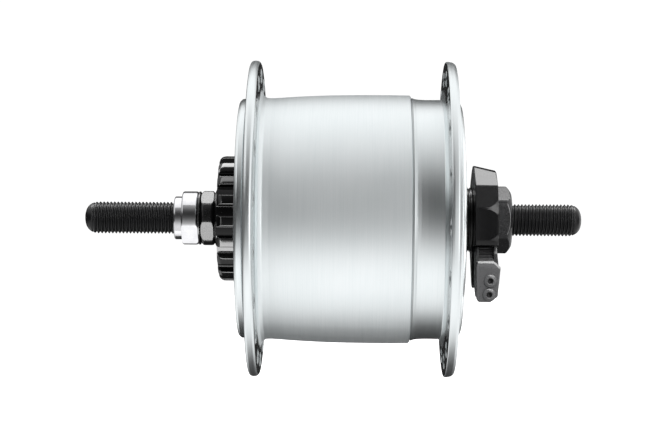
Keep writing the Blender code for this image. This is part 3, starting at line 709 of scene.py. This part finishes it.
LEFT_HOLES, RIGHT_HOLES = spoke_places(-12.7), spoke_places(-2.8)
combine(shell, "UNION", doughnuts("lips_left", LEFT_HOLES, -20.52, 2.0, 0.32, 0.7))
combine(shell, "UNION", doughnuts("lips_right", RIGHT_HOLES, 31.22, 2.0, 0.32, 0.7))
combine(shell, "DIFFERENCE", pins("holes_left", LEFT_HOLES, [
    (-24.5, 2.9), (-23.2 + 0.42, 1.62), (-23.2 + 0.75, HOLE_R), (-20.5 - 0.55, HOLE_R), (-20.5 - 0.15, 1.62), (-19.0, 2.6)]))
combine(shell, "DIFFERENCE", pins("holes_right", RIGHT_HOLES, [
    (29.7, 2.6), (31.2 + 0.15, 1.62), (31.2 + 0.55, HOLE_R), (33.9 - 0.75, HOLE_R), (33.9 - 0.42, 1.62), (35.2, 2.9)]))
dress(shell, HUB, "shell_aluminium", shell_look, "hub_shell", sharp=38.0)

GROOVED = []  # three shallow turned grooves on the face that the brake arm covers
for at in (22.0, 25.5, 29.0):
    GROOVED += [(-26.15, at - 0.35, 0.05), (-25.95, at - 0.12, 0.05), (-25.95, at + 0.12, 0.05), (-26.15, at + 0.35, 0.05)]
end_plate = turned("left_end_plate_fine", rounded([
    (-25.85, 12.7, 0.25), (-25.85, 18.1, 0.05), (-26.15, 18.1, 0.08), *GROOVED, (-26.15, 33.0, 0.5), (-25.45, 33.65, 0.5),
    (-24.0, 33.65, 0.18), (-23.85, 32.9, 0.1), (-23.3, 32.9, 0.1), (-23.3, 32.1, 0), (-20.8, 32.1, 0.2), (-20.8, 30.3, 0.2), (-23.0, 29.6, 0.4),
    (-23.0, 12.7, 0.2)], steps=5), 192)
dress(end_plate, HUB, "cap_aluminium", cap_look, "left_end_plate")

end_cap = turned("right_end_cap_fine", rounded([
    (29.2, 12.7, 0.2), (36.5, 12.7, 0.3), (36.5, 18.0, 0.8), (36.2, 26.0, 2.0), (35.7, 32.0, 1.6), (34.95, 33.65, 0.7),
    (34.0, 33.65, 0.12), (34.0, 32.1, 0), (30.5, 32.1, 0.2), (30.5, 30.6, 0.2), (33.4, 30.0, 0.5), (33.4, 15.4, 0.5),
    (29.2, 15.2, 0.2)], steps=6), 192)
dress(end_cap, HUB, "cap_aluminium", cap_look, "right_end_cap")


# ---------------------------------------------------------------- brake spline
TEETH, TIP_R, ROOT_R = 18, 17.6, 15.8
PITCH = 2 * math.pi / TEETH
FIRST = math.radians(-2.9)
HALF_TIP, HALF_ROOT = math.radians(4.4), math.radians(5.3)


tooth_outline = rounded([
    (math.radians(-10.0) * TIP_R, ROOT_R, 0), (-HALF_ROOT * TIP_R, ROOT_R, 0.30), (-HALF_TIP * TIP_R, TIP_R, 0.42),
    (HALF_TIP * TIP_R, TIP_R, 0.42), (HALF_ROOT * TIP_R, ROOT_R, 0.30), (math.radians(10.0) * TIP_R, ROOT_R, 0),
], steps=7, closed=False)
tooth_turns = [across / TIP_R for across, r in tooth_outline]
tooth_radii = [r for across, r in tooth_outline]


def tooth_radius(a):
    off = (a - FIRST + PITCH / 2) % PITCH - PITCH / 2
    return float(np.interp(off, tooth_turns, tooth_radii))


tooth_angles = []
for k in range(TEETH):
    c = FIRST + k * PITCH
    tooth_angles += [c + t for t in tooth_turns[:-1]] + [c + math.radians(s) for s in (-7.0, -2.0, 0.0, 2.0, 7.0)]
tooth_angles.sort()
front_curve = profile([(-31.9, 16.35), (-31.75, 16.75), (-31.5, 17.05), (-31.2, 17.28), (-30.9, 17.45), (-30.5, 17.58),
                       (-30.0, 17.68), (-26.0, 17.7)])


def spline_radius(a, y):
    return soft_min(tooth_radius(a), front_curve(y), 0.12)


spline = wrapped("brake_spline_ring_fine",
                 [-31.9, -31.86, -31.75, -31.62, -31.5, -31.35, -31.2, -31.05, -30.9, -30.7, -30.5, -30.2, -29.9, -29.0,
                  -28.0, -27.0, -26.15],
                 tooth_angles, spline_radius, (12.7, 0.35))
dress(spline, HUB, "black_steel", ring_look, "brake_spline_ring", dark="left", sharp=30.0)


# ---------------------------------------------------------------- axle with rolled M9 x 1 thread
THREAD_CREST, THREAD_DEPTH = 4.5, 0.52
dome = profile([(0.0, 0.0), (0.04, 0.75), (0.12, 1.35), (0.25, 1.9), (0.5, 2.58), (0.9, 3.2), (1.35, 3.65), (1.9, 4.0),
                (2.6, 4.28), (3.4, 4.45), (4.2, 4.5)])


def thread_radius(a, y):
    phase = (y - a / (2 * math.pi)) % 1.0
    ridge = 1 - abs(2 * phase - 1)
    drop = min(1.0, max(0.0, (ridge - 0.10) / 0.76))
    return THREAD_CREST - THREAD_DEPTH * drop


def axle_radius(a, y):
    reach = 70.0 - abs(y)
    full = thread_radius(a, y)
    if abs(y) < 36.5:
        blend = min(1.0, (36.5 - abs(y)) / 1.0)
        full = full * (1 - blend) + 4.4 * blend
    limit = dome(reach)
    fade = min(1.0, max(0.0, (reach - 1.0) / 1.6))
    full = full * fade + limit * (1 - fade)
    return min(full, limit)


axle_rows = [0.0]
step = 0.1
ys = [-70 + d for d in (0.04, 0.12, 0.25, 0.38, 0.5, 0.62, 0.75)]
y = -69.1
while y < -35.45:
    ys.append(y)
    y += step
ys += [-30, -20, -10, 0, 10, 20, 30]
y = 35.5
while y < 69.15:
    ys.append(y)
    y += step
ys += [70 - d for d in (0.75, 0.62, 0.5, 0.38, 0.25, 0.12, 0.04)]
around = 72
points, faces = [(0.0, -70.0, 0.0), (0.0, 70.0, 0.0)], []
for y in ys:
    for k in range(around):
        a = 2 * math.pi * k / around
        r = axle_radius(a, y)
        points.append((r * math.cos(a), y, r * math.sin(a)))
for k in range(around):
    m = (k + 1) % around
    faces.append((0, 2 + m, 2 + k))
    last = 2 + (len(ys) - 1) * around
    faces.append((1, last + k, last + m))
for i in range(len(ys) - 1):
    for k in range(around):
        m = (k + 1) % around
        a, b = 2 + i * around, 2 + (i + 1) * around
        faces.append((a + k, a + m, b + m, b + k))
axle = new_object("axle_fine", points, faces)
dress(axle, AXLE, "black_steel", thread_look, "axle", dark=True, sharp=75.0)


# ---------------------------------------------------------------- nuts, washers, collars on the axle
ALL_ROUND = [2 * math.pi * k / 360 for k in range(360)]
NUT_BORE = 4.35


def flats(count, half_across, first):
    """Radius of a prism with `count` flats; the first faces the angle `first` in degrees."""
    sector = 2 * math.pi / count

    def radius(a):
        off = (a - math.radians(first) + sector / 2) % sector - sector / 2
        return half_across / max(0.12, math.cos(off))
    return radius


def nut(name, rows, limit, prism_r, blend=0.16, chamfer=0.35):
    turned_r = profile(limit)
    return wrapped(name, rows, ALL_ROUND, lambda a, y: soft_min(turned_r(y), prism_r(a), blend), (NUT_BORE, chamfer))


def spaced(spans):
    """Row positions: (start, stop, count) runs joined."""
    rows = []
    for start_y, stop_y, count in spans:
        rows += [start_y + (stop_y - start_y) * k / count for k in range(count)]
    return rows + [spans[-1][1]]


two_flats = flats(2, 6.5, -46.0)
fixing_limit = [(-44.7, 5.62), (-44.64, 5.82), (-44.5, 5.97), (-44.3, 6.05), (-42.55, 6.05), (-42.47, 6.12), (-42.44, 7.0),
                (-42.36, 7.22), (-42.2, 7.4), (-41.95, 7.5), (-38.4, 7.5), (-38.15, 7.4), (-38.0, 7.25), (-37.8, 7.0)]
fixing = nut("brake_fixing_nut_fine",
             spaced([(-44.7, -44.3, 8), (-44.3, -42.55, 5), (-42.55, -42.41, 5), (-42.41, -41.9, 9), (-41.9, -38.4, 8),
                     (-38.4, -37.8, 8)]),
             fixing_limit, two_flats, 0.14, 0.5)
dress(fixing, AXLE, "bright_steel", bright_look, "brake_fixing_nut", sharp=40.0)
bright_nut.objects.link(fixing)

washer = turned("left_washer_fine", rounded([
    (-37.8, NUT_BORE, 0.05), (-37.8, 7.5, 0.1), (-37.3, 7.5, 0.1), (-37.3, NUT_BORE, 0.05)], steps=3), 144)
dress(washer, AXLE, "black_steel", black_look, "left_washer", dark="left")

left_nut = nut("left_locknut_fine",
               spaced([(-37.25, -36.2, 14), (-36.2, -34.0, 6), (-34.0, -33.5, 7)]),
               [(-37.25, 6.72), (-36.95, 7.16), (-36.6, 7.5), (-36.3, 7.65), (-33.95, 7.65), (-33.7, 7.52), (-33.5, 7.25)],
               flats(4, 6.95, -33.4), 0.2, 0.3)
dress(left_nut, AXLE, "black_steel", black_look, "left_locknut", dark="left", sharp=40.0)

dust_cap = turned("left_dust_cap_fine", rounded([
    (-33.45, NUT_BORE, 0.05), (-33.45, 6.8, 0.2), (-32.95, 7.85, 0.3), (-32.3, 9.3, 0.12), (-32.05, 9.3, 0.08),
    (-32.05, NUT_BORE, 0.05)], steps=4), 144)
dress(dust_cap, AXLE, "black_steel", black_look, "left_dust_cap", dark="left")

collar = turned("right_collar_fine", rounded([
    (36.1, NUT_BORE, 0.05), (36.1, 9.15, 0.15), (37.75, 9.15, 0.18), (37.9, 8.72, 0.1), (38.2, 8.72, 0.1),
    (38.3, 9.02, 0.12), (38.95, 9.02, 0.12), (38.95, NUT_BORE, 0.05)], steps=4), 144)
dress(collar, AXLE, "black_steel", black_look, "right_collar", dark=True)

right_nut = nut("right_locknut_fine",
                spaced([(45.3, 45.6, 4), (45.6, 48.2, 10), (48.2, 50.0, 22)]),
                [(45.3, 9.30), (45.45, 9.45), (48.5, 9.45), (48.8, 9.30), (49.4, 8.55), (49.85, 7.85), (50.0, 7.5)],
                flats(6, 8.5, 1.6), 0.18, 0.45)
dress(right_nut, AXLE, "black_steel", hex_look, "right_locknut", dark=True, sharp=40.0)
right_hex.objects.link(right_nut)


# ---------------------------------------------------------------- terminal housing
back = [(2.6, -19.2), (1.0, -18.9), (-4.9, -11.9), (-8.5, -8.2), (-11.3, -4.2), (-12.0, 0.0), (-11.3, 4.2),
        (-8.5, 8.3), (-4.4, 11.4)]
front = [(16.5, 9.4), (19.3, 3.1), (19.3, -5.8), (18.2, -7.05), (3.6, -7.05), (3.6, -18.4)]
housing = prism("terminal_housing_fine", back + [(-0.4, 13.8), (3.2, 15.1), (6.6, 15.1), (9.6, 14.6)] + front,
                back + [(-0.4, 13.2), (3.2, 13.7), (6.6, 13.7), (9.9, 13.15)] + front, "Y", (39.0, 45.25))
soften(housing, 0.28, 3, 14)
corner_cone = turned_solid("housing_corners", [
    (40.0, 0.0), (40.0, 20.4), (42.3, 19.80), (44.4, 19.58), (45.25, 19.45), (46.0, 19.25), (46.0, 0.0)], 256)
for vertex in corner_cone.data.vertices:
    vertex.co.z -= 1.35 * MM
corner_cuts = combine(block("housing_corner_cuts", (17.2, 41.0, -8.4), (21.5, 45.6, 6.6)), "DIFFERENCE", corner_cone)
combine(housing, "DIFFERENCE", corner_cuts)
combine(housing, "DIFFERENCE", block("channel_live", (-2.3, 41.6, -12.9), (5.0, 43.0, -9.5)))
combine(housing, "DIFFERENCE", block("channel_earth", (1.0, 41.6, -17.5), (5.0, 43.0, -14.1)))
combine(housing, "DIFFERENCE", block("channel_lead", (-0.9, 41.2, -10.0), (0.9, 42.8, -4.0)))
dress(housing, AXLE, "black_plastic", housing_look, "terminal_housing", dark=True, sharp=26.0, flat_area=2.5)


# ---------------------------------------------------------------- plug: body with ribbed finger scoop, and cap
plug_body = prism("connector_body_fine",
                  [(39.5, -7.4), (45.0, -7.4), (45.2, -9.9), (45.55, -13.2), (44.9, -20.5), (43.0, -21.8), (40.0, -21.8), (39.5, -21.2)],
                  [(39.5, -7.4), (45.0, -7.4), (45.2, -9.9), (45.55, -13.2), (44.9, -20.5), (43.0, -21.8), (40.0, -21.8), (39.5, -21.2)],
                  "X", (3.9, 16.7))
side = [(3.9, -7.0), (15.7, -7.0), (17.0, -9.6), (17.0, -23.0), (14.3, -23.0), (8.0, -20.4), (3.9, -18.2)]
combine(plug_body, "INTERSECT", prism("body_side", side, side, "Y", (38.0, 47.0)))
soften(plug_body, 0.22, 3, 20)
scoop = []
for k in range(97):
    share = k / 96
    t = math.radians(180 + 90 * share)
    ridge = (0.5 + 0.5 * math.cos(2 * math.pi * share * 6.0)) ** 1.5
    deep = 0.5 * ridge
    scoop.append((17.3 + (3.75 - deep) * math.cos(t), -7.4 + (4.05 - deep) * math.sin(t)))
scoop += [(18.5, -11.35), (18.5, -6.5), (13.55, -6.5)]
combine(plug_body, "DIFFERENCE", prism("finger_scoop", scoop, scoop, "Y", (40.0, 44.2)))
combine(plug_body, "DIFFERENCE", block("slot_live", (3.0, 41.6, -12.9), (11.0, 43.0, -9.5)))
combine(plug_body, "DIFFERENCE", block("slot_earth", (3.0, 41.6, -17.5), (11.0, 43.0, -14.1)))
dress(plug_body, PLUG, "dark_grey_plastic", body_look, "connector_body", dark=True, sharp=35.0, flat_area=2.5)
plug_parts.objects.link(plug_body)

cap_back = [(39.7, -11.3), (44.15, -11.3), (45.95, -12.9), (45.2, -20.9), (43.2, -22.45), (40.0, -22.45), (39.35, -21.7),
            (39.25, -12.6)]
plug_cap = prism("connector_cap_fine", cap_back, cap_back, "X", (16.75, 18.3))
soften(plug_cap, 0.34, 4, 30)
chamfer = [(17.9, -11.0), (17.9, -11.25), (18.35, -11.92), (19.0, -11.92), (19.0, -11.0)]
combine(plug_cap, "DIFFERENCE", prism("cap_top_chamfer", chamfer, chamfer, "Y", (38.5, 47.0)))
slope = prism("cap_slope_chamfer", chamfer, chamfer, "Y", (39.0, 48.0))
corner = Vector((0.0, 44.15 * MM, -11.3 * MM))
slope.data.transform(Matrix.Translation(corner) @ Matrix.Rotation(-math.atan2(1.6, 1.8), 4, "X")
                     @ Matrix.Translation(-corner))
combine(plug_cap, "DIFFERENCE", slope)
ENTRIES = [(43.1, -16.7), (42.8, -20.45)]
combine(plug_cap, "UNION", pins("bosses", ENTRIES, [(17.6, 1.86), (18.30, 1.85), (18.44, 1.81), (18.57, 1.73), (18.69, 1.61),
                                                      (18.79, 1.45), (18.86, 1.26), (18.9, 1.08), (18.9, 0.95)], 56, "X"))
combine(plug_cap, "DIFFERENCE", pins("entries", ENTRIES, [(16.0, 0.72), (18.5, 0.72), (18.70, 0.75), (18.82, 0.81),
                                                            (18.89, 0.91), (19.1, 1.3)], 56, "X"))
dress(plug_cap, PLUG, "grey_plastic", plug_look, "connector_cap", dark=True, sharp=35.0, flat_area=0.8)
plug_parts.objects.link(plug_cap)


# ---------------------------------------------------------------- the pieces inside keep their CAD shape
LOOKS = {
    "bearing_cup": race_look, "cone": race_look, "ball_retainer": pressed_look, "dust_seal": rubber_look,
    "magnet_yoke": iron_look, "magnet_segment": ferrite_look, "stator_core": lamination_look,
    "stator_washer": iron_look, "stator_nut": pressed_look, "coil_bobbin": nylon_look, "coil_winding": copper_look,
    "claw_pole": iron_look, "terminal_blade": brass_look, "lead_wire": insulation_look, "_ball_": ball_look,
}
for name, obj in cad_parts.items():
    look = next((value for key, value in LOOKS.items() if key in name), None)
    if look is None:
        continue
    obj.data.materials.clear()
    obj.data.materials.append(look)
